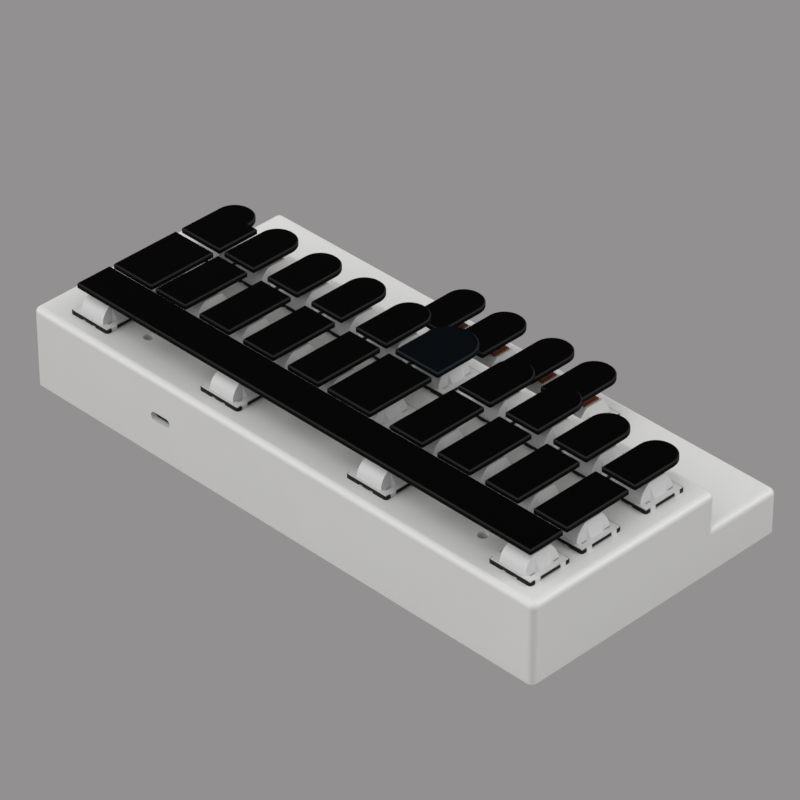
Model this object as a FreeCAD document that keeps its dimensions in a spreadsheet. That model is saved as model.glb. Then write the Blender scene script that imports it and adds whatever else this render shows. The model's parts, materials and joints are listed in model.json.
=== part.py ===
import FreeCAD, Part
import os
import re
import Sketcher

# Stenotype machine: a stepped case that carries twenty-eight plunger switches and their keys.
# +Z is up, the front with the thumb keys faces -Y, the back with the number bar and the port
# faces +Y, and the user's right hand is at +X. The origin is below the middle, on the table.
# Every size is in millimetres.

SIZES = {
    # Case, measured on its outside from its underside
    "case_length": 198.7,
    "case_width": 97.8,
    "upper_deck_height": 27.0,
    "lower_deck_height": 14.7,
    "step_from_back": 71.7,
    "wall": 2.5,
    "deck": 1.5,
    "edge_round": 2.0,
    # Bottom plate and what it stands on
    "plate_thickness": 2.0,
    "plate_clearance": 0.2,
    "foot_diameter": 8.0,
    "foot_height": 2.0,
    "foot_drop": 1.2,
    "foot_inset": 14.0,
    "foot_clearance": 0.1,
    "foot_edge_round": 0.4,
    # Posts, screws and threaded inserts
    "post_diameter": 7.0,
    "post_bore": 3.2,
    "back_post_from_back": 12.9,
    "back_post_from_left": 31.05,
    "back_post_from_right": 35.15,
    "middle_post_from_back": 45.5,
    "middle_post_from_left": 23.05,
    "middle_post_from_right": 27.15,
    "front_post_from_back": 91.0,
    "front_post_from_side": 8.0,
    "insert_diameter": 4.6,
    "insert_length": 5.7,
    "insert_bore": 3.1,
    "insert_clearance": 0.02,
    "screw_diameter": 3.0,
    "screw_length": 8.0,
    "screw_head_diameter": 5.5,
    "screw_head_height": 1.65,
    "screw_clearance": 0.2,
    "screw_drive_radius": 1.15,
    "screw_drive_depth": 1.1,
    # Where the switches stand, measured from the left end and from the back face
    "first_column_from_left": 14.05,
    "column_pitch": 18.0,
    "star_pitch": 22.5,
    "bar_row_from_back": 13.1,
    "upper_row_from_back": 32.97,
    "lower_row_from_back": 58.1,
    "thumb_row_from_back": 84.4,
    "first_thumb_from_left": 61.3,
    "thumb_pitch": 16.3,
    "thumb_hand_pitch": 18.75,
    # Switch base, measured from the top of the deck
    "base_width": 13.9,
    "cutout_clearance": 0.05,
    "flange_width": 15.6,
    "flange_height": 1.0,
    "flange_round": 1.0,
    "deck_to_board": 5.0,
    "base_floor": 1.1,
    "deck_clip_reach": 0.4,
    "deck_clip_height": 1.0,
    "deck_clip_width": 4.0,
    "deck_clip_gap": 0.05,
    "end_notch_width": 5.6,
    "end_bump_width": 2.6,
    "end_bump_drop": 0.3,
    "side_notch_width": 7.6,
    "notch_height": 0.5,
    "locating_post_diameter": 4.0,
    "locating_post_reach": 3.3,
    "guide_diameter": 3.0,
    "guide_height": 1.9,
    "guide_bore": 2.1,
    "guide_bore_floor": 1.3,
    # Contact blades in the base
    "blade_from_centre": 5.2,
    "blade_spacing": 0.6,
    "blade_thickness": 0.3,
    "blade_width": 2.4,
    "blade_height": 4.2,
    "blade_clearance": 0.1,
    "left_pin_from_centre": 3.81,
    "right_pin_from_centre": 2.54,
    "pin_width": 1.0,
    # Switch housing, measured from the top of the deck
    "rim_width": 14.7,
    "rim_height": 0.35,
    "housing_top": 6.4,
    "panel_foot_width": 11.7,
    "panel_head_width": 8.56,
    "panel_foot_length": 4.2,
    "panel_head_length": 5.8,
    "lobe_foot_width": 10.4,
    "lobe_foot_corner": 9.5,
    "lobe_head_width": 9.0,
    "lobe_head_corner": 8.6,
    "lobe_inner_length": 6.5,
    "lobe_outer_length": 13.4,
    "back_arc_radius": 5.5,
    "back_arc_from_middle": 1.1,
    "back_arc_height": 1.2,
    "front_arc_radius": 15.3,
    "front_arc_from_middle": 8.25,
    "front_arc_depth": 3.38,
    "clip_width": 2.0,
    "clip_thickness": 0.7,
    "clip_from_middle": 4.85,
    "clip_clearance": 0.1,
    "rim_slot_length": 2.0,
    "rim_slot_width": 0.4,
    "rim_slot_from_centre": 5.45,
    "rim_slot_from_middle": 4.5,
    # Slider, measured from the top of the deck
    "slider_width": 7.2,
    "slider_depth": 5.6,
    "slider_clearance": 0.05,
    "slider_top": 6.9,
    "slider_bottom": 0.4,
    "neck_width": 5.0,
    "neck_top": 7.3,
    "cross_top": 9.9,
    "cross_length": 4.1,
    "cross_arm_along": 1.17,
    "cross_arm_across": 1.31,
    "tab_width": 4.8,
    "tab_depth": 8.4,
    "tab_top": 4.4,
    "tab_stop_gap": 0.1,
    "tab_clearance": 0.2,
    "spring_bore": 4.6,
    "spring_bore_top": 5.0,
    "guide_pin_diameter": 1.9,
    "guide_pin_reach": 2.6,
    "spring_diameter": 4.2,
    "spring_wall": 0.35,
    # Key caps, measured from the top of the deck
    "cap_width": 12.5,
    "cap_thickness": 1.6,
    "cap_edge": 0.38,
    "cap_corner_round": 0.5,
    "cap_top": 10.5,
    "thumb_cap_top": 12.75,
    "upper_cap_length": 24.45,
    "lower_cap_length": 21.5,
    "thumb_cap_length": 21.9,
    "star_cap_width": 17.0,
    "wide_cap_extra": 3.75,
    "bar_depth": 12.75,
    "socket_diameter": 5.3,
    "socket_gap": 0.05,
    "socket_clearance": 0.03,
    # Circuit boards
    "board_thickness": 1.6,
    "board_clearance": 0.4,
    "board_post_clearance": 0.2,
    "board_hole_clearance": 0.1,
    "pin_hole_diameter": 1.5,
    "thumb_board_length": 84.0,
    "thumb_board_reach": 8.0,
    "diode_length": 2.7,
    "diode_width": 1.6,
    "diode_height": 1.2,
    "diode_from_switch": 7.6,
    "stacker_length": 20.32,
    "stacker_width": 2.5,
    "stacker_from_edge": 1.9,
    # Controller module and the port in the back wall
    "port_from_left": 145.2,
    "port_height": 13.75,
    "port_width": 7.75,
    "port_opening": 2.95,
    "port_clearance": 0.17,
    "port_recess": 1.6,
    "usb_length": 5.6,
    "usb_shell": 0.3,
    "usb_depth": 4.8,
    "tongue_height": 0.6,
    "tongue_width": 5.0,
    "module_width": 18.0,
    "module_length": 36.0,
    "module_thickness": 1.2,
    "header_width": 2.5,
    "header_length": 30.48,
    "header_from_middle": 7.62,
    "header_from_edge": 4.0,
    "chip_width": 7.0,
    "chip_height": 1.0,
    "chip_from_edge": 20.0,
}

doc = FreeCAD.newDocument("stenotype_machine")
sheet = doc.addObject("Spreadsheet::Sheet", "sizes")
for row, (name, value) in enumerate(SIZES.items(), start=1):
    sheet.set(f"A{row}", name)
    sheet.set(f"B{row}", str(value))
    sheet.setAlias(f"B{row}", name)
doc.recompute()

# Places that many pieces share, as formulas on the sizes

UPPER_DECK = "(foot_drop + upper_deck_height)"
LOWER_DECK = "(foot_drop + lower_deck_height)"
LEFT_END = "(-case_length / 2)"
BACK_FACE = "(case_width / 2)"
RISER = "(case_width / 2 - step_from_back)"
INNER_FRONT = "(wall - case_width / 2)"
INNER_BACK = "(case_width / 2 - wall)"
PLATE_TOP = "(foot_drop + plate_thickness)"
BOARD_TOP = f"({UPPER_DECK} - deck_to_board)"
THUMB_BOARD_TOP = f"({LOWER_DECK} - deck_to_board)"
PORT_X = f"({LEFT_END} + port_from_left)"
PORT_Z = "(foot_drop + port_height)"
USB_HEIGHT = "(port_opening - 2 * port_clearance)"
MODULE_TOP = f"({PORT_Z} - {USB_HEIGHT} / 2)"
CAVITY_FLOOR = "(base_floor - deck_to_board)"
ORIGIN = ("0", "0", "0")

STAR_COLUMN = 4
COLUMNS = 10
THUMBS = 4
BAR_COLUMNS = (0, 3, 6, 9)
HEX_SIDES = 6

TURN_ACROSS = FreeCAD.Rotation(FreeCAD.Vector(0, 1, 0), 90)
TURN_BACK = FreeCAD.Rotation(FreeCAD.Vector(1, 0, 0), -90)

nodes = []


def formula(text):
    """Return text with every size's name written as a reference to its cell."""
    return re.sub(r"[a-z_]+", lambda word: f"sizes.{word[0]}" if word[0] in SIZES else word[0], text)


def bind(item, target, text):
    """Tie one property of an object to a formula on the sizes."""
    item.setExpression(target, formula(text))


def place(item, where):
    """Tie an object's position to three formulas."""
    for axis, text in zip("xyz", where):
        bind(item, f"Placement.Base.{axis}", text)


def make(owner, kind, name):
    """Add an object to the document, or a feature to one of its bodies."""
    if owner is None:
        return doc.addObject(kind, name)
    item = owner.newObject(kind, name)
    item.Refine = True
    return item


def box(name, middle, bottom, size, owner=None, kind="Part::Box"):
    """Make a box from the middle of its plan, its lowest height and its three sizes."""
    item = make(owner, kind, name)
    for side, text in zip(("Length", "Width", "Height"), size):
        bind(item, side, text)
    corner = [f"{centre} - ({extent}) / 2" for centre, extent in zip(middle, size)]
    place(item, (*corner, bottom))
    return item


def cylinder(name, start, radius, height, owner=None, kind="Part::Cylinder", turn=None):
    """Make a cylinder from the centre of its first end."""
    item = make(owner, kind, name)
    if turn is not None:
        item.Placement.Rotation = turn
    bind(item, "Radius", radius)
    bind(item, "Height", height)
    place(item, start)
    return item


def combine(kind, name, parts):
    """Fuse, intersect or group several shapes."""
    item = doc.addObject(kind, name)
    if kind == "Part::Compound":
        item.Links = parts
    else:
        item.Shapes = parts
        item.Refine = True
    return item


def cut(name, whole, tool):
    """Take one shape away from another."""
    item = doc.addObject("Part::Cut", name)
    item.Base = whole
    item.Tool = tool
    return item


def new_body(name):
    """Start a body for a piece that is built up feature by feature."""
    return doc.addObject("PartDesign::Body", name)


def add_box(body, name, middle, bottom, size):
    """Add a box to a body."""
    return box(name, middle, bottom, size, body, "PartDesign::AdditiveBox")


def take_box(body, name, middle, bottom, size):
    """Cut a box out of a body."""
    return box(name, middle, bottom, size, body, "PartDesign::SubtractiveBox")


def add_cylinder(body, name, start, radius, height):
    """Add an upright cylinder to a body."""
    return cylinder(name, start, radius, height, body, "PartDesign::AdditiveCylinder")


def take_cylinder(body, name, start, radius, height):
    """Cut an upright cylinder out of a body."""
    return cylinder(name, start, radius, height, body, "PartDesign::SubtractiveCylinder")


def dress(body, kind, name, feature, wanted, target, size):
    """Round or bevel the edges of a feature that the wanted test picks."""
    doc.recompute()
    edges = feature.Shape.Edges
    picked = [f"Edge{index}" for index, edge in enumerate(edges, start=1) if wanted(feature.Shape, edge)]
    item = body.newObject(kind, name)
    item.Base = (feature, picked)
    bind(item, target, size)
    return item


def is_upright(edge):
    """Tell whether an edge runs straight up."""
    first, last = edge.Vertexes[0].Point, edge.Vertexes[-1].Point
    return abs(first.x - last.x) < Part.Precision.confusion() > abs(first.y - last.y)


def is_corner(shape, edge):
    """Tell whether an edge is an upright corner between two flat faces."""
    faces = shape.ancestorsOfType(edge, Part.Face)
    return is_upright(edge) and all(isinstance(face.Surface, Part.Plane) for face in faces)


def is_on_top(shape, edge):
    """Tell whether an edge lies in the shape's highest plane."""
    return edge.BoundBox.ZMin > shape.BoundBox.ZMax - Part.Precision.confusion()


def is_on_bottom(shape, edge):
    """Tell whether an edge lies in the shape's lowest plane."""
    return edge.BoundBox.ZMax < shape.BoundBox.ZMin + Part.Precision.confusion()


def is_above_bottom(shape, edge):
    """Tell whether an edge leaves the shape's lowest plane."""
    return not is_on_bottom(shape, edge)


def copy(name, source, where):
    """Stand a copy of a piece somewhere else, still tied to the piece it copies."""
    item = combine("Part::Compound", name, [source])
    place(item, where)
    return item


def copies(name, source, places):
    """Group copies of one piece at several places."""
    members = [copy(f"{name}_{index}", source, where) for index, where in enumerate(places, start=1)]
    return combine("Part::Compound", name, members)


def keep(node, item):
    """List an object as a piece of the machine under its name."""
    item.Label = node
    nodes.append(item)


def outline(name, quarter, height):
    """Draw a closed outline with two mirror lines from the full widths of its corners in one quarter."""
    sketch = doc.addObject("Sketcher::SketchObject", name)
    bind(sketch, "Placement.Base.z", height)
    reverse = quarter[::-1]
    corners = [("", "", *pair) for pair in quarter] + [("-", "", *pair) for pair in reverse]
    corners += [("-", "-", *pair) for pair in quarter] + [("", "-", *pair) for pair in reverse]
    points = []
    for side, end, width, length in corners:
        x = float(f"{side}1") * getattr(sheet, width) / 2
        y = float(f"{end}1") * getattr(sheet, length) / 2
        points.append(FreeCAD.Vector(x, y, 0))
    for first, last in zip(points, points[1:] + points[:1]):
        sketch.addGeometry(Part.LineSegment(first, last), False)
    for index, (side, end, width, length) in enumerate(corners):
        before = (index - 1) % len(corners)
        sketch.addConstraint(Sketcher.Constraint("Coincident", before, 2, index, 1))
        across = sketch.addConstraint(Sketcher.Constraint("DistanceX", -1, 1, index, 1, points[index].x))
        sketch.setExpression(f"Constraints[{across}]", formula(f"{side}{width} / 2"))
        along = sketch.addConstraint(Sketcher.Constraint("DistanceY", -1, 1, index, 1, points[index].y))
        sketch.setExpression(f"Constraints[{along}]", formula(f"{end}{length} / 2"))
    return sketch


def loft(name, sections):
    """Join outlines into a solid with straight sides."""
    item = doc.addObject("Part::Loft", name)
    item.Sections = sections
    item.Solid = True
    item.Ruled = True
    return item


# Places of the switches


def column_x(column):
    """Return how far right of the middle a column of keys stands."""
    gaps = int(column >= STAR_COLUMN)
    return f"{LEFT_END} + first_column_from_left + {column - gaps} * column_pitch + {gaps} * star_pitch"


def thumb_x(index):
    """Return how far right of the middle a thumb key stands."""
    pairs = index // 2
    steps = index - pairs
    return f"{LEFT_END} + first_thumb_from_left + {steps} * thumb_pitch + {pairs} * thumb_hand_pitch"


def row_y(row):
    """Return how far behind the middle a row of switches stands."""
    return f"{BACK_FACE} - {row}_row_from_back"


BAR_PLACES = [(column_x(column), row_y("bar"), UPPER_DECK) for column in BAR_COLUMNS]
UPPER_PLACES = [(column_x(column), row_y("upper"), UPPER_DECK) for column in range(COLUMNS)]
LOWER_PLACES = [(column_x(column), row_y("lower"), UPPER_DECK) for column in range(COLUMNS)]
THUMB_PLACES = [(thumb_x(index), row_y("thumb"), LOWER_DECK) for index in range(THUMBS)]
MAIN_PLACES = BAR_PLACES + UPPER_PLACES + LOWER_PLACES
ALL_PLACES = MAIN_PLACES + THUMB_PLACES

BACK_POSTS = [
    (f"{LEFT_END} + back_post_from_left", f"{BACK_FACE} - back_post_from_back"),
    ("case_length / 2 - back_post_from_right", f"{BACK_FACE} - back_post_from_back"),
]
MIDDLE_POSTS = [
    (f"{LEFT_END} + middle_post_from_left", f"{BACK_FACE} - middle_post_from_back"),
    ("case_length / 2 - middle_post_from_right", f"{BACK_FACE} - middle_post_from_back"),
]
FRONT_POSTS = [
    (f"{LEFT_END} + front_post_from_side", f"{BACK_FACE} - front_post_from_back"),
    ("case_length / 2 - front_post_from_side", f"{BACK_FACE} - front_post_from_back"),
]
TALL_POSTS = BACK_POSTS + MIDDLE_POSTS
POSTS = TALL_POSTS + FRONT_POSTS

# Case shell: two rounded blocks hollowed out, with posts inside, then everything that is cut through it


def rounded_block(name, back_to_front, height):
    """Make a block across the whole case that reaches forward from the back face."""
    block = new_body(name)
    middle = ("0", f"{BACK_FACE} - ({back_to_front}) / 2")
    form = add_box(block, f"{name}_form", middle, "foot_drop", ("case_length", back_to_front, height))
    dress(block, "PartDesign::Fillet", f"{name}_rounds", form, is_above_bottom, "Radius", "edge_round")
    return block


def case_shell():
    """Make the case with its decks, posts, switch cut-outs and port slot."""
    upper = rounded_block("upper_block", "step_from_back", "upper_deck_height")
    lower = rounded_block("lower_block", "case_width", "lower_deck_height")
    outside = combine("Part::MultiFuse", "case_outside", [upper, lower])
    inner_length = "case_length - 2 * wall"
    upper_room = box(
        "upper_room",
        ("0", f"({RISER} + {INNER_BACK} + wall) / 2"),
        "foot_drop",
        (inner_length, "step_from_back - 2 * wall", "upper_deck_height - deck"),
    )
    lower_room = box(
        "lower_room",
        ("0", "0"),
        "foot_drop",
        (inner_length, "case_width - 2 * wall", "lower_deck_height - deck"),
    )
    inside = combine("Part::MultiFuse", "case_inside", [upper_room, lower_room])
    hollow = cut("case_hollow", outside, inside)
    posts = []
    for number, (x, y) in enumerate(POSTS, start=1):
        deck_height = "upper_deck_height" if (x, y) in TALL_POSTS else "lower_deck_height"
        height = f"{deck_height} - plate_thickness - deck / 2"
        posts.append(cylinder(f"post_{number}", (x, y, PLATE_TOP), "post_diameter / 2", height))
    solid = combine("Part::MultiFuse", "case_with_posts", [hollow, *posts])
    tools = [obround("port_slot", f"({BACK_FACE} + wall)", "port_width", "port_opening", "3 * wall")]
    opening = "base_width + 2 * cutout_clearance"
    for number, (x, y, top) in enumerate(ALL_PLACES, start=1):
        hole = (opening, opening, "4 * deck")
        tools.append(box(f"switch_opening_{number}", (x, y), f"{top} - 2 * deck", hole))
    for number, (x, y) in enumerate(POSTS, start=1):
        seat = (x, y, PLATE_TOP)
        radius = "insert_diameter / 2 + insert_clearance"
        tools.append(cylinder(f"insert_seat_{number}", seat, radius, "insert_length"))
        blind_depth = "lower_deck_height - plate_thickness - 2 * deck"
        depth = "upper_deck_height" if (x, y) in BACK_POSTS else blind_depth
        tools.append(cylinder(f"post_bore_{number}", seat, "post_bore / 2", depth))
    openings = combine("Part::MultiFuse", "case_openings", tools)
    keep("case_shell", cut("case_shell", solid, openings))


def obround(name, back, width, height, length):
    """Make a bar with round edges that runs forward from a height on the back wall."""
    radius = f"({height}) / 2"
    half_run = f"(({width}) - ({height})) / 2"
    middle = box(
        f"{name}_middle",
        (PORT_X, f"{back} - ({length}) / 2"),
        f"{PORT_Z} - {radius}",
        (f"2 * {half_run}", length, height),
    )
    ends = []
    for side, sign in (("left", "-"), ("right", "+")):
        start = (f"{PORT_X} {sign} {half_run}", f"{back} - ({length})", PORT_Z)
        ends.append(cylinder(f"{name}_{side}", start, radius, length, turn=TURN_BACK))
    return combine("Part::MultiFuse", name, [middle, *ends])


# Bottom plate, feet, screws and inserts


def foot_places(height):
    """Return where the four feet stand."""
    x = "(case_length / 2 - foot_inset)"
    y = "(case_width / 2 - foot_inset)"
    return [(f"{a}{x}", f"{b}{y}", height) for a in ("-", "") for b in ("-", "")]


def bottom_plate():
    """Make the plate that closes the case from below."""
    gap = "2 * (wall + plate_clearance)"
    size = (f"case_length - {gap}", f"case_width - {gap}", "plate_thickness")
    blank = box("plate_blank", ("0", "0"), "foot_drop", size)
    tools = []
    seat = "foot_diameter / 2 + foot_clearance"
    for number, where in enumerate(foot_places("0"), start=1):
        tools.append(cylinder(f"foot_seat_{number}", where, seat, "foot_height"))
    for number, (x, y) in enumerate(POSTS, start=1):
        hole = "screw_diameter / 2 + screw_clearance"
        tools.append(cylinder(f"screw_hole_{number}", (x, y, "0"), hole, f"2 * {PLATE_TOP}"))
        sink = doc.addObject("Part::Cone", f"screw_sink_{number}")
        bind(sink, "Radius1", "screw_head_diameter / 2 + screw_clearance")
        bind(sink, "Radius2", "screw_diameter / 2 + screw_clearance")
        bind(sink, "Height", "screw_head_height")
        place(sink, (x, y, "foot_drop"))
        tools.append(sink)
    holes = combine("Part::MultiFuse", "plate_holes", tools)
    keep("bottom_plate", cut("bottom_plate", blank, holes))


def rubber_feet():
    """Make the four round feet."""
    foot = new_body("foot")
    form = add_cylinder(foot, "foot_form", ORIGIN, "foot_diameter / 2", "foot_height")
    dress(foot, "PartDesign::Fillet", "foot_rounds", form, is_on_bottom, "Radius", "foot_edge_round")
    keep("rubber_feet", copies("rubber_feet", foot, foot_places("0")))


def case_fasteners():
    """Make the countersunk screws and the threaded inserts that they go into."""
    shank = cylinder("screw_shank", ORIGIN, "screw_diameter / 2", "screw_length")
    head = doc.addObject("Part::Cone", "screw_head")
    bind(head, "Radius1", "screw_head_diameter / 2")
    bind(head, "Radius2", "screw_diameter / 2")
    bind(head, "Height", "screw_head_height")
    whole = combine("Part::MultiFuse", "screw_whole", [shank, head])
    drive = doc.addObject("Part::Prism", "screw_drive")
    drive.Polygon = HEX_SIDES
    bind(drive, "Circumradius", "screw_drive_radius")
    bind(drive, "Height", "screw_drive_depth")
    screw = cut("screw", whole, drive)
    barrel = cylinder("insert_barrel", ORIGIN, "insert_diameter / 2", "insert_length")
    bore = cylinder("insert_thread", ORIGIN, "insert_bore / 2", "insert_length")
    insert = cut("insert", barrel, bore)
    screws = copies("screws", screw, [(x, y, "foot_drop") for x, y in POSTS])
    inserts = copies("inserts", insert, [(x, y, PLATE_TOP) for x, y in POSTS])
    keep("case_fasteners", combine("Part::Compound", "case_fasteners", [screws, inserts]))


# Switches: base, housing, slider, spring and contact blades, each made once and then copied


def switch_base():
    """Make the black lower half that clips into the deck and is soldered to the board."""
    base = new_body("switch_base")
    flange = add_box(base, "base_flange", ("0", "0"), "0", ("flange_width", "flange_width", "flange_height"))
    rounds = dress(base, "PartDesign::Fillet", "base_corners", flange, is_corner, "Radius", "flange_round")
    base.Tip = rounds
    add_box(base, "base_block", ("0", "0"), "-deck_to_board", ("base_width", "base_width", "deck_to_board"))
    clip_span = "base_width + 2 * deck_clip_reach"
    clip_bottom = "-deck - deck_clip_gap - deck_clip_height"
    add_box(base, "deck_clips", ("0", "0"), clip_bottom, (clip_span, "deck_clip_width", "deck_clip_height"))
    post_foot = ("0", "0", "-deck_to_board - locating_post_reach")
    add_cylinder(base, "locating_post", post_foot, "locating_post_diameter / 2", "locating_post_reach")
    overhang = "(flange_width - base_width) / 2"
    for side in ("-", ""):
        middle = f"{side}(base_width + flange_width) / 4"
        end = ("end_notch_width", overhang, "notch_height")
        take_box(base, "end_notch", ("0", middle), "0", end)
        across = (overhang, "side_notch_width", "notch_height")
        take_box(base, "side_notch", (middle, "0"), "0", across)
        bump = ("end_bump_width", overhang, "notch_height")
        add_box(base, "end_bump", ("0", middle), "notch_height - end_bump_drop", bump)
        for clip in ("-", ""):
            slot = (overhang, "clip_width + 2 * clip_clearance", "flange_height")
            take_box(base, "clip_slot", (middle, f"{clip}clip_from_middle"), "0", slot)
    room = (
        "slider_width + 2 * tab_clearance",
        "tab_depth + 4 * tab_clearance",
        f"flange_height - {CAVITY_FLOOR}",
    )
    take_box(base, "slider_room", ("0", "0"), CAVITY_FLOOR, room)
    add_cylinder(base, "guide_tube", ("0", "0", CAVITY_FLOOR), "guide_diameter / 2", "guide_height")
    bore_bottom = "(guide_bore_floor - deck_to_board - locating_post_reach)"
    bore_length = f"{CAVITY_FLOOR} + guide_height - {bore_bottom}"
    take_cylinder(base, "guide_bore_cut", ("0", "0", bore_bottom), "guide_bore / 2", bore_length)
    take_box(base, "blade_room", *blade_room())
    for side, sign in (("left", "-"), ("right", "")):
        x = f"{sign}{side}_pin_from_centre"
        size = ("pin_width + 2 * blade_clearance", "blade_thickness + 2 * blade_clearance", "deck_to_board")
        take_box(base, f"{side}_pin_hole", (x, blade_y(side)), "-deck_to_board", size)
    return base


def blade_y(side):
    """Return how far behind the switch's middle a blade stands."""
    return "blade_from_centre" if side == "left" else "(blade_from_centre + blade_spacing)"


def blade_room():
    """Return the middle, bottom and size of the pocket that holds both blades."""
    width = "left_pin_from_centre + right_pin_from_centre + blade_width + 2 * blade_clearance"
    middle = ("(right_pin_from_centre - left_pin_from_centre) / 2", "blade_from_centre + blade_spacing / 2")
    depth = "blade_spacing + blade_thickness + 2 * blade_clearance"
    return middle, CAVITY_FLOOR, (width, depth, f"flange_height - {CAVITY_FLOOR}")


def contact_blades():
    """Make the two contact blades of a switch with their solder pins."""
    blades = []
    for side, sign in (("left", "-"), ("right", "")):
        middle = (f"{sign}{side}_pin_from_centre", blade_y(side))
        size = ("blade_width", "blade_thickness", "blade_height")
        leaf = box(f"{side}_leaf", middle, CAVITY_FLOOR, size)
        reach = "deck_to_board + locating_post_reach"
        pin_size = ("pin_width", "blade_thickness", f"{reach} + {CAVITY_FLOOR}")
        pin = box(f"{side}_pin", middle, f"-({reach})", pin_size)
        blades.append(combine("Part::MultiFuse", f"{side}_blade", [leaf, pin]))
    return blades


def spring():
    """Make the sleeve that stands in for a switch's coil spring."""
    length = f"spring_bore_top - {CAVITY_FLOOR}"
    outside = cylinder("spring_outside", ("0", "0", CAVITY_FLOOR), "spring_diameter / 2", length)
    hole = cylinder("spring_hole", ("0", "0", CAVITY_FLOOR), "spring_diameter / 2 - spring_wall", length)
    return cut("spring", outside, hole)


def switch_housing():
    """Make the white upper half: a panel on each side between rounded lobes, over a thin rim."""
    rim_top = "flange_height + rim_height"
    shoulder = ("lobe_foot_width", "lobe_inner_length")
    panel_foot = outline("panel_foot", [("panel_foot_width", "panel_foot_length"), shoulder], rim_top)
    panel_corners = [("panel_head_width", "panel_head_length"), ("lobe_head_corner", "lobe_inner_length")]
    panel_head = outline("panel_head", panel_corners, "housing_top")
    lobe_foot = outline("lobe_foot", [shoulder, ("lobe_foot_corner", "lobe_outer_length")], rim_top)
    lobe_corners = [("lobe_head_width", "lobe_inner_length"), ("lobe_head_corner", "lobe_outer_length")]
    lobe_head = outline("lobe_head", lobe_corners, "housing_top")
    slope_foot = outline("slope_foot", [("panel_foot_width", "lobe_outer_length")], rim_top)
    slope_head = outline("slope_head", [("panel_head_width", "lobe_outer_length")], "housing_top")
    panels = loft("panels", [panel_foot, panel_head])
    lobes = loft("lobes", [lobe_foot, lobe_head])
    slopes = loft("slopes", [slope_foot, slope_head])
    sloped_lobes = combine("Part::MultiCommon", "sloped_lobes", [lobes, slopes])
    hull = combine("Part::MultiFuse", "hull", [panels, sloped_lobes])
    across = "panel_foot_width"
    left_side = f"-{across} / 2"
    back_start = (left_side, "back_arc_from_middle", "back_arc_height")
    back_arc = cylinder("back_arc", back_start, "back_arc_radius", across, turn=TURN_ACROSS)
    front_start = (left_side, "front_arc_from_middle", "-front_arc_depth")
    front_arc = cylinder("front_arc", front_start, "front_arc_radius", across, turn=TURN_ACROSS)
    ahead = "(lobe_outer_length / 2 + back_arc_from_middle)"
    ridge_middle = ("0", f"back_arc_from_middle - {ahead} / 2")
    ridge_size = (across, ahead, "2 * back_arc_radius")
    ridge = box("ridge", ridge_middle, "back_arc_height - back_arc_radius", ridge_size)
    crown = combine("Part::MultiFuse", "crown", [back_arc, ridge])
    shaped = combine("Part::MultiCommon", "shaped_hull", [hull, crown, front_arc])
    pieces = [shaped, box("rim", ("0", "0"), "flange_height", ("rim_width", "rim_width", "rim_height"))]
    tools = []
    clip_x = "(flange_width - clip_thickness) / 2 - deck_clip_gap"
    for side in ("-", ""):
        for end in ("-", ""):
            middle = (f"{side}({clip_x})", f"{end}clip_from_middle")
            clip = ("clip_thickness", "clip_width", f"{rim_top} - deck_clip_gap")
            pieces.append(box("clip", middle, "deck_clip_gap", clip))
            slot = ("rim_slot_width", "rim_slot_length", "rim_height")
            where = (f"{side}rim_slot_from_centre", f"{end}rim_slot_from_middle")
            tools.append(box("rim_slot", where, "flange_height", slot))
    whole = combine("Part::MultiFuse", "housing_whole", pieces)
    guide = ("slider_width + 2 * slider_clearance", "slider_depth + 2 * slider_clearance", "housing_top")
    tools.append(box("slider_guide", ("0", "0"), "0", guide))
    tab_room = ("tab_width + 2 * tab_clearance", "tab_depth + 2 * tab_clearance", "tab_top + tab_stop_gap")
    tools.append(box("tab_room", ("0", "0"), "0", tab_room))
    return cut("switch_housing", whole, combine("Part::MultiFuse", "housing_openings", tools))


def slider():
    """Make the plunger: a block with stop tabs, a spring bore, a guide pin and the cross for the cap."""
    plunger = new_body("slider")
    block_size = ("slider_width", "slider_depth", "slider_top - slider_bottom")
    add_box(plunger, "slider_block", ("0", "0"), "slider_bottom", block_size)
    tab_height = "tab_top - slider_bottom"
    add_box(plunger, "stop_tabs", ("0", "0"), "slider_bottom", ("tab_width", "tab_depth", tab_height))
    neck_size = ("neck_width", "neck_width", "neck_top - slider_top")
    add_box(plunger, "slider_neck", ("0", "0"), "slider_top", neck_size)
    rise = "cross_top - neck_top"
    add_box(plunger, "cross_along", ("0", "0"), "neck_top", ("cross_length", "cross_arm_along", rise))
    add_box(plunger, "cross_across", ("0", "0"), "neck_top", ("cross_arm_across", "cross_length", rise))
    bore_height = "spring_bore_top - slider_bottom"
    take_cylinder(plunger, "spring_bore_cut", ("0", "0", "slider_bottom"), "spring_bore / 2", bore_height)
    pin_length = "spring_bore_top + guide_pin_reach"
    add_cylinder(plunger, "guide_pin", ("0", "0", "-guide_pin_reach"), "guide_pin_diameter / 2", pin_length)
    return plunger


# Key caps: a flat plate with a bevelled edge, a round nose on some, and sockets for the crosses


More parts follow.
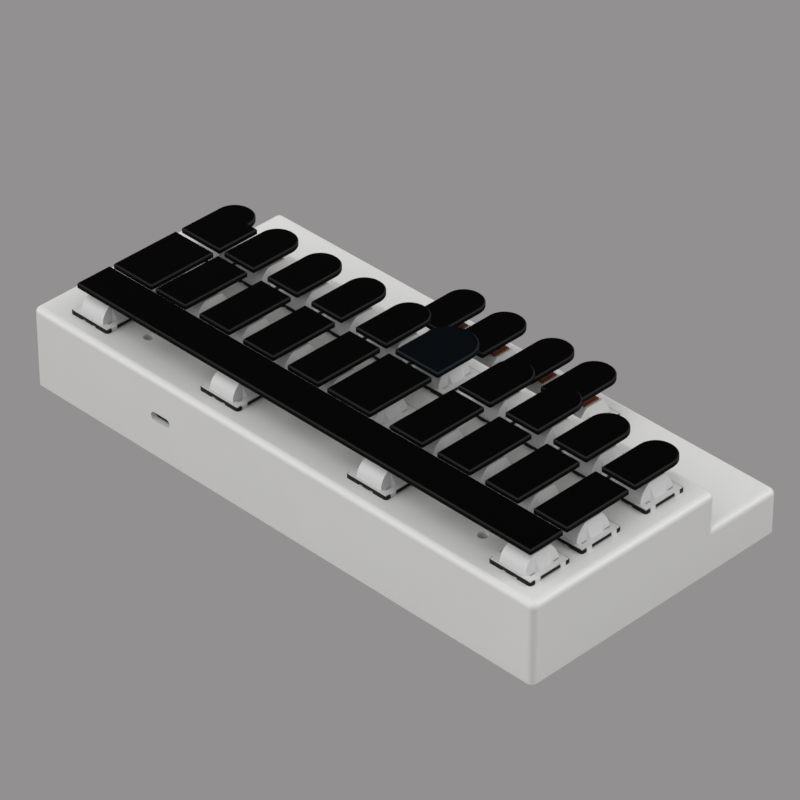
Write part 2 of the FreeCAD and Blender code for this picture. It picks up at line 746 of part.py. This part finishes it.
def cap(name, width, length, top="cap_top", nose=False, left_extra="0", sockets=(("0", "0"),)):
    """Make a cap around its switch's middle, with an optional round nose at the front."""
    body = new_body(name)
    underside = f"{top} - cap_thickness"
    straight = f"({length}) - ({width}) / 2" if nose else length
    back = f"({length}) / 2"
    middle = (f"-({left_extra}) / 2", f"{back} - ({straight}) / 2")
    plate_size = (f"({width}) + ({left_extra})", straight, "cap_thickness")
    plate = add_box(body, f"{name}_plate", middle, underside, plate_size)
    if nose:
        start = ("0", f"{back} - ({straight})", underside)
        plate = add_cylinder(body, f"{name}_nose", start, f"({width}) / 2", "cap_thickness")
    rounds = "cap_corner_round"
    plate = dress(body, "PartDesign::Fillet", f"{name}_corners", plate, is_corner, "Radius", rounds)
    dress(body, "PartDesign::Chamfer", f"{name}_edge", plate, is_on_top, "Size", "cap_edge")
    bottom = "neck_top + socket_gap"
    gap = "2 * socket_clearance"
    depth = "cross_top - neck_top"
    for index, (x, y) in enumerate(sockets, start=1):
        tag = f"{name}_socket_{index}"
        add_cylinder(body, tag, (x, y, bottom), "socket_diameter / 2", f"{underside} - ({bottom})")
        along = (f"cross_length + {gap}", f"cross_arm_along + {gap}", depth)
        take_box(body, f"{tag}_along", (x, y), bottom, along)
        across = (f"cross_arm_across + {gap}", f"cross_length + {gap}", depth)
        take_box(body, f"{tag}_across", (x, y), bottom, across)
    return body


# Circuit boards with what is soldered to them


def footprints(name, places, height):
    """Return the holes that the switches at some places need in a board."""
    tools = []
    for number, (x, y, _) in enumerate(places, start=1):
        post = "locating_post_diameter / 2 + board_hole_clearance"
        tools.append(cylinder(f"{name}_post_{number}", (x, y, height), post, "board_thickness"))
        for side, sign in (("left", "-"), ("right", "+")):
            centre = (f"{x} {sign} {side}_pin_from_centre", f"{y} + {blade_y(side)}", height)
            tools.append(cylinder(f"{name}_pin_{number}", centre, "pin_hole_diameter / 2", "board_thickness"))
    return tools


def diodes(name, places, underside):
    """Return the small diodes under a board, one behind each of some switches."""
    size = ("diode_length", "diode_width", "diode_height")
    return [
        box(f"{name}_diode_{number}", (x, f"{y} + diode_from_switch"), f"{underside} - diode_height", size)
        for number, (x, y, _) in enumerate(places, start=1)
    ]


def main_board():
    """Make the board under the upper deck."""
    underside = f"({BOARD_TOP} - board_thickness)"
    front = f"({RISER} + wall + board_clearance)"
    back = f"({INNER_BACK} - board_clearance)"
    size = ("case_length - 2 * (wall + board_clearance)", f"{back} - {front}", "board_thickness")
    blank = box("main_blank", ("0", f"({front} + {back}) / 2"), underside, size)
    tools = footprints("main", MAIN_PLACES, underside)
    for number, (x, y) in enumerate(TALL_POSTS, start=1):
        radius = "post_diameter / 2 + board_post_clearance"
        tools.append(cylinder(f"post_clearance_{number}", (x, y, underside), radius, "board_thickness"))
    board = cut("main_board_bare", blank, combine("Part::MultiFuse", "main_holes", tools))
    parts = [board, *diodes("main", MAIN_PLACES, underside)]
    keep("main_board", combine("Part::Compound", "main_board", parts))


def thumb_board():
    """Make the board under the lower deck and the connector that stacks it under the main board."""
    underside = f"({THUMB_BOARD_TOP} - board_thickness)"
    front = f"({INNER_FRONT} + board_clearance)"
    back = f"({RISER} + thumb_board_reach)"
    middle_x = f"({LEFT_END} + first_thumb_from_left + thumb_pitch + thumb_hand_pitch / 2)"
    size = ("thumb_board_length", f"{back} - {front}", "board_thickness")
    blank = box("thumb_blank", (middle_x, f"({front} + {back}) / 2"), underside, size)
    holes = combine("Part::MultiFuse", "thumb_holes", footprints("thumb", THUMB_PLACES, underside))
    board = cut("thumb_board_bare", blank, holes)
    stacker_y = f"{RISER} + wall + board_clearance + stacker_from_edge"
    stacker_size = ("stacker_length", "stacker_width", f"{BOARD_TOP} - board_thickness - {THUMB_BOARD_TOP}")
    stacker = box("stacker", (middle_x, stacker_y), THUMB_BOARD_TOP, stacker_size)
    parts = [board, stacker, *diodes("thumb", THUMB_PLACES, underside)]
    keep("thumb_board", combine("Part::Compound", "thumb_board", parts))


def controller_module():
    """Make the small board behind the port with its socket, chip and two header strips."""
    edge = f"({INNER_BACK} - board_clearance)"
    board_size = ("module_width", "module_length", "module_thickness")
    middle = (PORT_X, f"{edge} - module_length / 2")
    board = box("module_board", middle, f"{MODULE_TOP} - module_thickness", board_size)
    mouth = f"({BACK_FACE} - port_recess)"
    width = "port_width - 2 * port_clearance"
    shell = obround("usb_shell", mouth, width, USB_HEIGHT, "usb_length")
    room_width = f"{width} - 2 * usb_shell"
    room = obround("usb_room", mouth, room_width, f"{USB_HEIGHT} - 2 * usb_shell", "usb_depth")
    tongue_middle = (PORT_X, f"{mouth} - usb_depth / 2")
    tongue_size = ("tongue_width", "usb_depth", "tongue_height")
    tongue = box("usb_tongue", tongue_middle, f"{PORT_Z} - tongue_height / 2", tongue_size)
    socket = combine("Part::MultiFuse", "usb_socket", [cut("usb_hollow", shell, room), tongue])
    chip_size = ("chip_width", "chip_width", "chip_height")
    chip = box("chip", (PORT_X, f"{edge} - chip_from_edge"), MODULE_TOP, chip_size)
    header_size = ("header_width", "header_length", f"{BOARD_TOP} - board_thickness - {MODULE_TOP}")
    header_y = f"{edge} - header_from_edge - header_length / 2"
    headers = [
        box(f"{side}_header", (f"{PORT_X} {sign} header_from_middle", header_y), MODULE_TOP, header_size)
        for side, sign in (("left", "-"), ("right", "+"))
    ]
    parts = [board, socket, chip, *headers]
    keep("controller_module", combine("Part::Compound", "controller_module", parts))


# The switches and keys in their places


def switches():
    """Stand every switch base, housing, spring and pair of blades in its opening."""
    keep("switch_bases", copies("switch_bases", switch_base(), ALL_PLACES))
    keep("switch_housings", copies("switch_housings", switch_housing(), ALL_PLACES))
    metal = combine("Part::Compound", "switch_metal", [spring(), *contact_blades()])
    keep("switch_metalwork", copies("switch_metalwork", metal, ALL_PLACES))


UPPER_KEYS = (
    "left_s_upper",
    "left_t",
    "left_p",
    "left_h",
    "star_upper",
    "right_f",
    "right_p",
    "right_l",
    "right_t",
    "right_d",
)
LOWER_KEYS = (
    "left_s_lower",
    "left_k",
    "left_w",
    "left_r",
    "star_lower",
    "right_r",
    "right_b",
    "right_g",
    "right_s",
    "right_z",
)
THUMB_KEYS = ("left_a", "left_o", "right_e", "right_u")


def row_caps(row, nose):
    """Return the cap for each column of a row: most alike, with a star cap and a wide last one."""
    length = f"{row}_cap_length"
    plain = cap(f"{row}_cap", "cap_width", length, nose=nose)
    star = cap(f"{row}_star_cap", "star_cap_width", length, nose=nose)
    wide = cap(f"{row}_wide_cap", "cap_width", length, nose=nose, left_extra="wide_cap_extra")
    caps = [plain] * COLUMNS
    caps[STAR_COLUMN] = star
    caps[-1] = wide
    return caps


def keys():
    """Stand a slider and a cap on every switch, and the number bar on its four."""
    plunger = slider()
    thumb = cap("thumb_cap", "cap_width", "thumb_cap_length", top="thumb_cap_top", nose=True)
    rows = (
        (UPPER_KEYS, UPPER_PLACES, row_caps("upper", nose=False)),
        (LOWER_KEYS, LOWER_PLACES, row_caps("lower", nose=True)),
        (THUMB_KEYS, THUMB_PLACES, [thumb] * len(THUMB_KEYS)),
    )
    for names, places, caps in rows:
        for key, where, shape in zip(names, places, caps):
            keep(f"{key}_cap", copy(f"{key}_cap", shape, where))
            keep(f"{key}_slider", copy(f"{key}_slider", plunger, where))
    bar_middle = f"(({column_x(BAR_COLUMNS[0])}) + ({column_x(BAR_COLUMNS[-1])})) / 2"
    sockets = [(f"{x} - {bar_middle}", "0") for x, _, _ in BAR_PLACES]
    bar_length = f"({column_x(BAR_COLUMNS[-1])}) - ({column_x(BAR_COLUMNS[0])}) + cap_width"
    bar = cap("number_bar", bar_length, "bar_depth", sockets=sockets)
    keep("number_bar_cap", copy("number_bar_cap", bar, (bar_middle, row_y("bar"), UPPER_DECK)))
    keep("number_bar_sliders", copies("number_bar_sliders", plunger, BAR_PLACES))


def export():
    """Stop on any failed object, then write each piece to its file."""
    doc.recompute()
    for item in doc.Objects:
        if "Invalid" in item.State or "Error" in item.State:
            raise RuntimeError(f"{item.Name} failed: {item.State}")
    os.makedirs("parts", exist_ok=True)
    for item in nodes:
        shape = item.Shape
        if shape.isNull() or not shape.isValid() or not shape.Solids:
            raise RuntimeError(f"{item.Label} has no sound shape")
        shape.exportStep(os.path.join("parts", f"{item.Label}.step"))
        print(f"{item.Label}: {len(shape.Solids)} solids, {shape.Volume:.1f} cubic mm")


case_shell()
bottom_plate()
rubber_feet()
case_fasteners()
switches()
main_board()
thumb_board()
controller_module()
keys()
export()
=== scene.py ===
"""Looks of the stenotype machine: a finish for every piece, a plain studio and the photograph's view."""

from __future__ import annotations

import fnmatch
import json
import logging
import math
from dataclasses import dataclass, field
from enum import Enum

import bpy
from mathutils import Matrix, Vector

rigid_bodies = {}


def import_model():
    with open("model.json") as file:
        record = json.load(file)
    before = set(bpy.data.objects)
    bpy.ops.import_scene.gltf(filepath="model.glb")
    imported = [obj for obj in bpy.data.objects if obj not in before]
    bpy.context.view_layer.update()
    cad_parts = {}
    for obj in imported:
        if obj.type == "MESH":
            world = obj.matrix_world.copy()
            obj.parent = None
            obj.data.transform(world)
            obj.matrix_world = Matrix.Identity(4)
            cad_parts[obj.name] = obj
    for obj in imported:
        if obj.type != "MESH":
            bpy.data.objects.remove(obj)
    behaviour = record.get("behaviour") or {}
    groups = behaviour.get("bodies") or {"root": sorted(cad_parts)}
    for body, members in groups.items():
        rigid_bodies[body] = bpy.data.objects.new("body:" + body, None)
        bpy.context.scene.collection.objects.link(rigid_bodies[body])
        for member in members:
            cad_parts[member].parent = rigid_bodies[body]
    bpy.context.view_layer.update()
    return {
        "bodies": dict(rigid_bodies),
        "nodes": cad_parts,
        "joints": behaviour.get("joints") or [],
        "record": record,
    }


LOG = logging.getLogger("stenotype")
MM = 0.001

# The sRGB curve is straight below its toe and a power above it.
SRGB_TOE = 0.04045
SRGB_TOE_SLOPE = 12.92
SRGB_OFFSET = 0.055
SRGB_POWER = 2.4

# A noise texture stays between these values nearly everywhere.
NOISE_LOW = 0.3
NOISE_HIGH = 0.7

BUMP_HEIGHT = 0.05 * MM
ROUGHNESS_REACH = 0.04
GRAIN_ROUGHNESS = 0.6
DRIFT_SIZE = 18 * MM
DRIFT_DETAIL = 2.0
WEAVE_DISTORTION = 0.4
# A small third value draws a tool's marks out along Z.
TOOL_MARK_SCALE = (1.0, 1.0, 0.08)

# The upward part of a normal on what counts as a side, at the two ends of the rim, and on a top, where
# the caps' painted side light and painted rim highlight change.
SIDE_SLOPE = 0.1
RIM_SLOPES = (0.4, 0.85)
TOP_SLOPE = 0.97


def linear(hex_colour: str) -> tuple[float, float, float, float]:
    """Turn an sRGB hex colour into Blender's linear colour.

    Args:
        hex_colour: Six hex digits, such as "a0b0c0".

    Returns:
        The linear red, green, blue and an alpha of one.
    """
    channels = [int(hex_colour[start : start + 2], 16) / 255 for start in (0, 2, 4)]
    values = [
        value / SRGB_TOE_SLOPE
        if value <= SRGB_TOE
        else ((value + SRGB_OFFSET) / (1 + SRGB_OFFSET)) ** SRGB_POWER
        for value in channels
    ]
    return (*values, 1.0)


def add_node(
    tree: bpy.types.NodeTree,
    kind: str,
    settings: dict[str | int, object] | None = None,
    links: dict[str | int, bpy.types.NodeSocket] | None = None,
    **attributes: object,
) -> bpy.types.Node:
    """Add a node with its settings and links.

    Args:
        tree: The node tree that gets the node.
        kind: Blender's name for the kind of node.
        settings: Values of its input sockets, by name or number.
        links: Output sockets of other nodes, by the input that each goes into.
        attributes: Properties of the node itself.

    Returns:
        The new node.
    """
    node = tree.nodes.new(kind)
    for name, value in attributes.items():
        setattr(node, name, value)
    for key, value in (settings or {}).items():
        node.inputs[key].default_value = value
    for key, socket in (links or {}).items():
        tree.links.new(socket, node.inputs[key])
    return node


def empty_material(name: str) -> bpy.types.Material:
    """Make a material whose node tree is still empty.

    Args:
        name: The material's name.

    Returns:
        The new material.
    """
    material = bpy.data.materials.new(name)
    material.use_nodes = True
    material.node_tree.nodes.clear()
    return material


class Surface(Enum):
    """How a surface was made, which sets the pattern that it carries."""

    SINTERED = "sintered from powder"
    MATT = "shaped against a fine matt texture"
    POLISHED = "moulded against a polished steel"
    MACHINED = "turned or stamped metal"
    LAMINATE = "woven glass under a thin mask"


GRAIN_DETAIL = {
    Surface.SINTERED: 3.0,
    Surface.MATT: 4.0,
    Surface.POLISHED: 1.0,
    Surface.MACHINED: 2.0,
}


@dataclass(frozen=True)
class Finish:
    """One real material, its colours and how its surface was made.

    Attributes:
        name: The material's common name and how it was made.
        colour: Its sRGB hex colour.
        surface: How its surface was made.
        roughness: The middle of its roughness.
        grain_mm: The size of its surface pattern.
        relief: The strength of the bump that the pattern gives.
        metallic: One for a bare metal.
        ior: The index of refraction of a plastic.
        specular: The level of its reflection, 0.5 for a plain dielectric.
        mottle: How much the colour drifts over the part.
        painted_side_light: The lighter sRGB hex colour painted on its upright sides as painted light,
            where it isn't that of the top.
        painted_rim_highlight: The sRGB hex colour of a painted highlight on the slanted rim between
            them, if it has one.
    """

    name: str
    colour: str
    surface: Surface
    roughness: float
    grain_mm: float = 0.35
    relief: float = 0.1
    metallic: float = 0.0
    ior: float = 1.5
    specular: float = 0.5
    mottle: float = 0.02
    painted_side_light: str = ""
    painted_rim_highlight: str = ""


# Laser sintered and smoothed nylon: a pale, slightly warm satin whose edges catch a soft light. Its
# powder of 0.06 mm is too fine to show, so its grain is drawn at 0.3 mm.
CASE = Finish(
    "Nylon 12, sintered and smoothed",
    "cececc",
    Surface.SINTERED,
    roughness=0.38,
    grain_mm=0.3,
    relief=0.03,
    mottle=0.008,
)
# The same powder left unsmoothed below: duller, with a grain that shows.
PLATE = Finish(
    "Nylon 12, sintered",
    "bdbdbb",
    Surface.SINTERED,
    roughness=0.72,
    relief=0.3,
    mottle=0.015,
)
# Cast acrylic cut by a laser, deep matt black on top. Its upright sides carry painted light, a little
# lighter than the top. Its thin slanted rim carries a painted highlight.
CAP = Finish(
    "Acrylic, laser cut, matt black",
    "000000",
    Surface.MATT,
    roughness=0.5,
    grain_mm=0.2,
    relief=0.04,
    specular=0.012,
    painted_side_light="0e0e0e",
    painted_rim_highlight="242424",
)
# The same sheet with a blue pigment, so dark that it only shows against the black ones, with the same
# painted side light and painted rim highlight.
NAVY = Finish(
    "Acrylic, laser cut, matt navy",
    "020509",
    Surface.MATT,
    roughness=0.5,
    grain_mm=0.2,
    relief=0.04,
    specular=0.012,
    painted_side_light="0d0f12",
    painted_rim_highlight="20242a",
)
# Glass filled nylon: a deep black with a slightly uneven sheen.
BASE = Finish(
    "Glass filled nylon, moulded black",
    "050505",
    Surface.MATT,
    roughness=0.6,
    grain_mm=0.3,
    specular=0.25,
)
# Natural white nylon from a polished mould: neutral, smooth and a little glossy.
HOUSING = Finish(
    "Nylon 66, moulded white",
    "c6c6c6",
    Surface.POLISHED,
    roughness=0.45,
    grain_mm=0.6,
    relief=0.02,
)
# Brown acetal: waxy and smooth.
SLIDER = Finish(
    "Acetal, moulded brown",
    "6a3216",
    Surface.POLISHED,
    roughness=0.38,
    grain_mm=0.6,
    relief=0.02,
    ior=1.48,
)
# Silicone rubber: dark and dull, with a grain as fine as dust.
RUBBER = Finish(
    "Silicone rubber, moulded",
    "1c1c1d",
    Surface.MATT,
    roughness=0.82,
    grain_mm=0.25,
    relief=0.3,
    ior=1.43,
)
# Zinc plated steel: cool and bright, with fine marks drawn out along its height.
STEEL = Finish(
    "Steel, zinc plated",
    "b4b7b8",
    Surface.MACHINED,
    roughness=0.34,
    grain_mm=0.1,
    metallic=1.0,
)
# Phosphor bronze strip and wire: a warm dull gold, with fine marks drawn out along its height.
BRONZE = Finish(
    "Phosphor bronze, stamped",
    "b98a4e",
    Surface.MACHINED,
    roughness=0.36,
    grain_mm=0.12,
    metallic=1.0,
)
# Glass fibre laminate under a green mask: its weave shows faintly, with threads about 1 mm apart.
BOARD = Finish(
    "Glass fibre laminate, green mask",
    "16432a",
    Surface.LAMINATE,
    roughness=0.35,
    grain_mm=0.5,
    relief=0.15,
)
# Nickel plated steel, the shell of the port: a plain grey shine.
SHELL = Finish(
    "Steel, nickel plated",
    "a7a9ab",
    Surface.MACHINED,
    roughness=0.35,
    grain_mm=0.1,
    metallic=1.0,
)


@dataclass
class MaterialShop:
    """Makes each finish's material once and hands it out again.

    Attributes:
        made: The materials made so far, by the name of their finish.
    """

    made: dict[str, bpy.types.Material] = field(default_factory=dict)

    def get(self, finish: Finish) -> bpy.types.Material:
        """Return the material of a finish, made on first use.

        Args:
            finish: The finish to look up.

        Returns:
            Its material.
        """
        if finish.name not in self.made:
            self.made[finish.name] = self.build(finish)
        return self.made[finish.name]

    def build(self, finish: Finish) -> bpy.types.Material:
        """Build a finish's material from procedural nodes.

        Args:
            finish: The finish to build.

        Returns:
            The new material.
        """
        material = empty_material(finish.name)
        tree = material.node_tree
        place = add_node(tree, "ShaderNodeTexCoord").outputs["Object"]
        grain = self.grain(tree, finish, place)
        bump = add_node(
            tree,
            "ShaderNodeBump",
            {"Strength": finish.relief, "Distance": BUMP_HEIGHT},
            {"Height": grain},
        )
        shader = add_node(
            tree,
            "ShaderNodeBsdfPrincipled",
            {"Metallic": finish.metallic, "Specular IOR Level": finish.specular},
            {
                "Base Color": self.colour(tree, finish, place),
                "Roughness": self.spread(tree, grain, finish.roughness, ROUGHNESS_REACH),
                "Normal": bump.outputs["Normal"],
            },
        )
        if not finish.metallic:
            shader.inputs["IOR"].default_value = finish.ior
        add_node(tree, "ShaderNodeOutputMaterial", links={"Surface": shader.outputs["BSDF"]})
        return material

    def grain(
        self, tree: bpy.types.NodeTree, finish: Finish, place: bpy.types.NodeSocket
    ) -> bpy.types.NodeSocket:
        """Draw the fine pattern that the way of making leaves on the surface.

        Args:
            tree: The node tree to add to.
            finish: The finish whose pattern is drawn.
            place: The place on the surface.

        Returns:
            A height around one half.
        """
        scale = 1 / (finish.grain_mm * MM)
        if finish.surface is Surface.LAMINATE:
            return self.weave(tree, scale, place)
        if finish.surface is Surface.MACHINED:
            marks = {"Scale": TOOL_MARK_SCALE}
            stretched = add_node(tree, "ShaderNodeMapping", marks, {"Vector": place})
            place = stretched.outputs["Vector"]
        detail = GRAIN_DETAIL[finish.surface]
        settings = {"Scale": scale, "Detail": detail, "Roughness": GRAIN_ROUGHNESS}
        return add_node(tree, "ShaderNodeTexNoise", settings, {"Vector": place}).outputs["Fac"]

    def weave(
        self, tree: bpy.types.NodeTree, scale: float, place: bpy.types.NodeSocket
    ) -> bpy.types.NodeSocket:
        """Cross two sets of threads.

        Args:
            tree: The node tree to add to.
            scale: About twice the number of threads in a metre.
            place: The place on the surface.

        Returns:
            The height of the weave.
        """
        settings = {"Scale": scale / (2 * math.pi), "Distortion": WEAVE_DISTORTION}
        threads = [
            add_node(tree, "ShaderNodeTexWave", settings, {"Vector": place}, bands_direction=way)
            for way in ("X", "Y")
        ]
        both = {number: thread.outputs["Fac"] for number, thread in enumerate(threads)}
        return add_node(tree, "ShaderNodeMath", links=both, operation="MULTIPLY").outputs["Value"]

    def colour(
        self, tree: bpy.types.NodeTree, finish: Finish, place: bpy.types.NodeSocket
    ) -> bpy.types.NodeSocket:
        """Let the finish's colour drift a little over the part, with painted light by slope where the
        finish has it.

        Args:
            tree: The node tree to add to.
            finish: The finish whose colour is drawn.
            place: The place on the surface.

        Returns:
            The colour.
        """
        settings = {"Scale": 1 / DRIFT_SIZE, "Detail": DRIFT_DETAIL}
        drift = add_node(tree, "ShaderNodeTexNoise", settings, {"Vector": place})
        share = self.spread(tree, drift.outputs["Fac"], 1.0, finish.mottle)
        scaled = add_node(
            tree,
            "ShaderNodeVectorMath",
            {0: linear(finish.colour)[:3]},
            {"Scale": share},
            operation="SCALE",
        )
        # Where the finish has a painted rim highlight, its colour is painted light by slope: lighter
        # sides, a highlighted rim and a black top.
        if finish.painted_rim_highlight:
            tree.links.new(self.paint_light_by_slope(tree, finish), scaled.inputs[0])
        return scaled.outputs["Vector"]

    def paint_light_by_slope(self, tree: bpy.types.NodeTree, finish: Finish) -> bpy.types.NodeSocket:
        """Paint light by slope: painted light on the upright sides, a painted highlight on the slanted
        rim, and the finish's own colour on the flat faces.

        Args:
            tree: The node tree to add to.
            finish: The finish with its own colour, its painted side light and its painted rim highlight.

        Returns:
            The colour.
        """
        normal = add_node(tree, "ShaderNodeTexCoord").outputs["Normal"]
        upward = add_node(tree, "ShaderNodeSeparateXYZ", links={"Vector": normal}).outputs["Z"]
        slope = add_node(tree, "ShaderNodeMath", links={0: upward}, operation="ABSOLUTE")
        ramp = add_node(tree, "ShaderNodeValToRGB", links={"Fac": slope.outputs["Value"]})
        stops = [
            (SIDE_SLOPE, finish.painted_side_light),
            *((place, finish.painted_rim_highlight) for place in RIM_SLOPES),
            (TOP_SLOPE, finish.colour),
        ]
        elements = ramp.color_ramp.elements
        while len(elements) < len(stops):
            elements.new(SIDE_SLOPE)
        for element, (place, tone) in zip(elements, stops):
            element.position = place
            element.color = linear(tone)
        return ramp.outputs["Color"]

    def spread(
        self, tree: bpy.types.NodeTree, noise: bpy.types.NodeSocket, middle: float, reach: float
    ) -> bpy.types.NodeSocket:
        """Turn a noise into a value that stays near a middle.

        Args:
            tree: The node tree to add to.
            noise: The noise.
            middle: The middle of the value.
            reach: How far it goes to each side of the middle.

        Returns:
            The value.
        """
        settings = {
            "From Min": NOISE_LOW,
            "From Max": NOISE_HIGH,
            "To Min": middle - reach,
            "To Max": middle + reach,
        }
        return add_node(tree, "ShaderNodeMapRange", settings, {"Value": noise}).outputs["Result"]


@dataclass
class Assembly:
    """A group of carried nodes that are dressed together.

    Attributes:
        finishes: The finish of each node, by its name or by a pattern that names share. A later
            entry holds over an earlier one.
    """

    finishes: dict[str, Finish] = field(default_factory=dict)

    def dress(self, frame: dict, shop: MaterialShop) -> None:
        """Give each node of the group its finish, in all its material slots.

        Args:
            frame: The loaded frame.
            shop: Where the materials come from.
        """
        chosen = {
            name: finish
            for pattern, finish in self.finishes.items()
            for name in fnmatch.filter(frame["nodes"], pattern)
        }
        for name, finish in chosen.items():
            slots = frame["nodes"][name].data.materials
            slots.clear()
            slots.append(shop.get(finish))
            LOG.info("%s: %s", name, finish.name)


@dataclass
class Case(Assembly):
    """The case shell with what closes and carries it."""

    finishes: dict[str, Finish] = field(
        default_factory=lambda: {
            "case_shell": CASE,
            "bottom_plate": PLATE,
            "rubber_feet": RUBBER,
            "case_fasteners": STEEL,
        }
    )


@dataclass
class Switches(Assembly):
    """The twenty-eight plunger switches with their sliders."""

    finishes: dict[str, Finish] = field(
        default_factory=lambda: {
            "switch_bases": BASE,
            "switch_housings": HOUSING,
            "switch_metalwork": BRONZE,
            "*_slider": SLIDER,
            "*_sliders": SLIDER,
        }
    )


@dataclass
class Keys(Assembly):
    """The caps: black ones, and the lower star in navy."""

    finishes: dict[str, Finish] = field(
        default_factory=lambda: {"*_cap": CAP, "star_lower_cap": NAVY}
    )


@dataclass
class Electronics(Assembly):
    """The two boards and the controller module with its port."""

    finishes: dict[str, Finish] = field(
        default_factory=lambda: {
            "main_board": BOARD,
            "thumb_board": BOARD,
            "controller_module": SHELL,
        }
    )


@dataclass(frozen=True)
class Lamp:
    """A broad lamp far away.

    Attributes:
        name: Where it stands.
        towards: The direction from the object to the lamp.
        strength: Its strength on a surface that faces it.
        spread: The angle that it fills, in degrees.
    """

    name: str
    towards: tuple[float, float, float]
    strength: float
    spread: float


@dataclass(frozen=True)
class Studio:
    """Floor, lamps, world and camera.

    Attributes:
        background: The sRGB hex colour that the camera sees behind the object.
        azimuth: The camera's turn about the object, in degrees from the front.
        elevation: The camera's height over the object, in degrees.
        view_angle: The camera's field of view, in degrees.
        distance: The camera's distance from its aim, in metres.
        aim: The point that the camera looks at.
        floor_reach: How far the floor goes to each side, in metres.
        world_strength: The strength of the even light from all around.
        lamps: The lamps: three from the sides, which shape the edges, and two from above.
    """

    background: str = "929091"
    azimuth: float = 225.0
    elevation: float = 35.264
    view_angle: float = 10.0
    distance: float = 1.215
    aim: tuple[float, float, float] = (-0.0431, 0.0422, 0.0630)
    floor_reach: float = 30.0
    world_strength: float = 0.57
    lamps: tuple[Lamp, ...] = (
        Lamp("left_low", (0.69, 0.69, 0.208), 0.82, 40.0),
        Lamp("right", (-0.577, -0.577, 0.577), 0.8, 30.0),
        Lamp("right_low", (-0.69, -0.69, 0.208), 0.55, 40.0),
        Lamp("above_the_back", (0.064, 0.64, 0.766), 1.05, 70.0),
        Lamp("overhead", (0.0, 0.0, 1.0), 0.25, 90.0),
    )

    def build(self) -> None:
        """Make everything around the object."""
        self.make_floor()
        self.make_world()
        for lamp in self.lamps:
            self.hang(lamp)
        self.make_camera()
        bpy.context.scene.view_settings.view_transform = "Standard"

    def make_floor(self) -> None:
        """Lay a wide plain floor."""
        mesh = bpy.data.meshes.new("floor")
        reach = self.floor_reach
        corners = [(-reach, -reach, 0), (reach, -reach, 0), (reach, reach, 0), (-reach, reach, 0)]
        mesh.from_pydata(corners, [], [(0, 1, 2, 3)])
        mesh.materials.append(self.paper())
        floor = bpy.data.objects.new("floor", mesh)
        bpy.context.scene.collection.objects.link(floor)

    def paper(self) -> bpy.types.Material:
        """Make a matt paper that camera, gloss and glass see in the background's colour.

        Returns:
            The new material.
        """
        material = empty_material("Studio paper, matt")
        tree = material.node_tree
        colour = {"Color": linear(self.background)}
        lit = add_node(tree, "ShaderNodeBsdfDiffuse", colour)
        glow = add_node(tree, "ShaderNodeEmission", colour)
        path = add_node(tree, "ShaderNodeLightPath")
        seen = path.outputs["Is Camera Ray"]
        for ray in ("Is Glossy Ray", "Is Transmission Ray"):
            either = {0: seen, 1: path.outputs[ray]}
            seen = add_node(tree, "ShaderNodeMath", links=either, operation="MAXIMUM").outputs["Value"]
        mixed = {0: seen, 1: lit.outputs["BSDF"], 2: glow.outputs["Emission"]}
        mix = add_node(tree, "ShaderNodeMixShader", links=mixed)
        add_node(tree, "ShaderNodeOutputMaterial", links={"Surface": mix.outputs["Shader"]})
        return material

    def make_world(self) -> None:
        """Fill the room with an even pale light."""
        world = bpy.data.worlds.new("studio")
        world.use_nodes = True
        tree = world.node_tree
        tree.nodes.clear()
        white = {"Color": (1.0, 1.0, 1.0, 1.0), "Strength": self.world_strength}
        glow = add_node(tree, "ShaderNodeBackground", white)
        add_node(tree, "ShaderNodeOutputWorld", links={"Surface": glow.outputs["Background"]})
        bpy.context.scene.world = world

    def hang(self, lamp: Lamp) -> None:
        """Hang one broad lamp.

        Args:
            lamp: The lamp to hang.
        """
        light = bpy.data.lights.new(lamp.name, "SUN")
        light.energy = lamp.strength
        light.angle = math.radians(lamp.spread)
        self.place(bpy.data.objects.new(lamp.name, light), Vector(lamp.towards))

    def make_camera(self) -> None:
        """Stand the camera where the photograph was taken from."""
        turn, rise = math.radians(self.azimuth), math.radians(self.elevation)
        back = Vector(
            (math.sin(turn) * math.cos(rise), -math.cos(turn) * math.cos(rise), math.sin(rise))
        )
        lens = bpy.data.cameras.new("camera")
        lens.angle = math.radians(self.view_angle)
        camera = bpy.data.objects.new("camera", lens)
        camera.location = Vector(self.aim) + back * self.distance
        self.place(camera, back)
        bpy.context.scene.camera = camera

    def place(self, item: bpy.types.Object, back: Vector) -> None:
        """Put a lamp or the camera into the scene, looking away from a direction.

        Args:
            item: The lamp or camera.
            back: The direction behind it.
        """
        item.rotation_mode = "QUATERNION"
        item.rotation_quaternion = back.to_track_quat("Z", "Y")
        bpy.context.scene.collection.objects.link(item)


def main() -> None:
    """Load the frame, dress every node and build the studio."""
    logging.basicConfig(level=logging.INFO)
    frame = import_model()
    shop = MaterialShop()
    for assembly in (Case(), Switches(), Keys(), Electronics()):
        assembly.dress(frame, shop)
    Studio().build()


if __name__ == "__main__":
    main()
